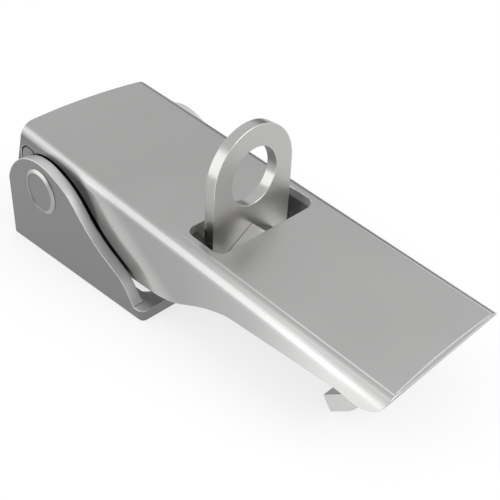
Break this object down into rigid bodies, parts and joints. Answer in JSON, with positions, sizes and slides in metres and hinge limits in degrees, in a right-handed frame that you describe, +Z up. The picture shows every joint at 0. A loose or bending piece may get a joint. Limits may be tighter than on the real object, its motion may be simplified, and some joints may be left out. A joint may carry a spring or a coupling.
{
  "type": "draw latch",
  "caption": "Closed stainless steel draw latch: a slotted channel base with ears, a sloping lever, a padlock eye through its slot and an adjustable hook claw.",
  "frame": {"origin": "on the mounting face, in the latch's middle plane, straight below the lever's pivot axis", "axes": "+X from the pivot towards the claw and the lever's free end, +Y to the far ear, +Z up from the mounting face"},
  "size_m": [0.101, 0.043, 0.0413],
  "materials": {
    "steel": "satin"
  },
  "bodies": {
    "base_body": {"base": "steel", "pivot_rivet_near": "steel", "pivot_rivet_far": "steel"},
    "lever_body": {"lever": "steel", "link_pin": "steel", "link_spacer_near": "steel", "link_spacer_far": "steel"},
    "link_body": {"link": "steel", "rear_washer": "steel"},
    "claw_body": {"claw": "steel", "stud": "steel"},
    "front_nut_body": {"front_nut": "steel"},
    "rear_nut_body": {"rear_nut": "steel"}
  },
  "joints": [
    {"name": "lever_pivot", "type": "hinge", "parent": "base_body", "child": "lever_body", "pos_m": [0, 0, 0.0164], "axis": [0, -1, 0], "range_deg": [0, 104]},
    {"name": "link_pivot", "type": "hinge", "parent": "lever_body", "child": "link_body", "pos_m": [-0.0075, 0, 0.0202], "axis": [0, -1, 0], "range_deg": [-78, 0]},
    {"name": "claw_slide", "type": "slide", "parent": "link_body", "child": "claw_body", "axis": [1, 0, 0], "range_m": [-0.004, 0.003]},
    {"name": "front_nut_spin", "type": "hinge", "parent": "link_body", "child": "front_nut_body", "pos_m": [0.0439, 0, 0.0122], "axis": [-1, 0, 0], "range_deg": [-1153, 865]},
    {"name": "rear_nut_spin", "type": "hinge", "parent": "link_body", "child": "rear_nut_body", "pos_m": [0.0344, 0, 0.0122], "axis": [-1, 0, 0], "range_deg": [-1153, 865]}
  ],
  "couplings": [
    {"joint": "link_pivot", "follows": "lever_pivot", "ratio": -0.75},
    {"joint": "front_nut_spin", "follows": "claw_slide", "rad_per_m": 5026.5},
    {"joint": "rear_nut_spin", "follows": "claw_slide", "rad_per_m": 5026.5}
  ]
}
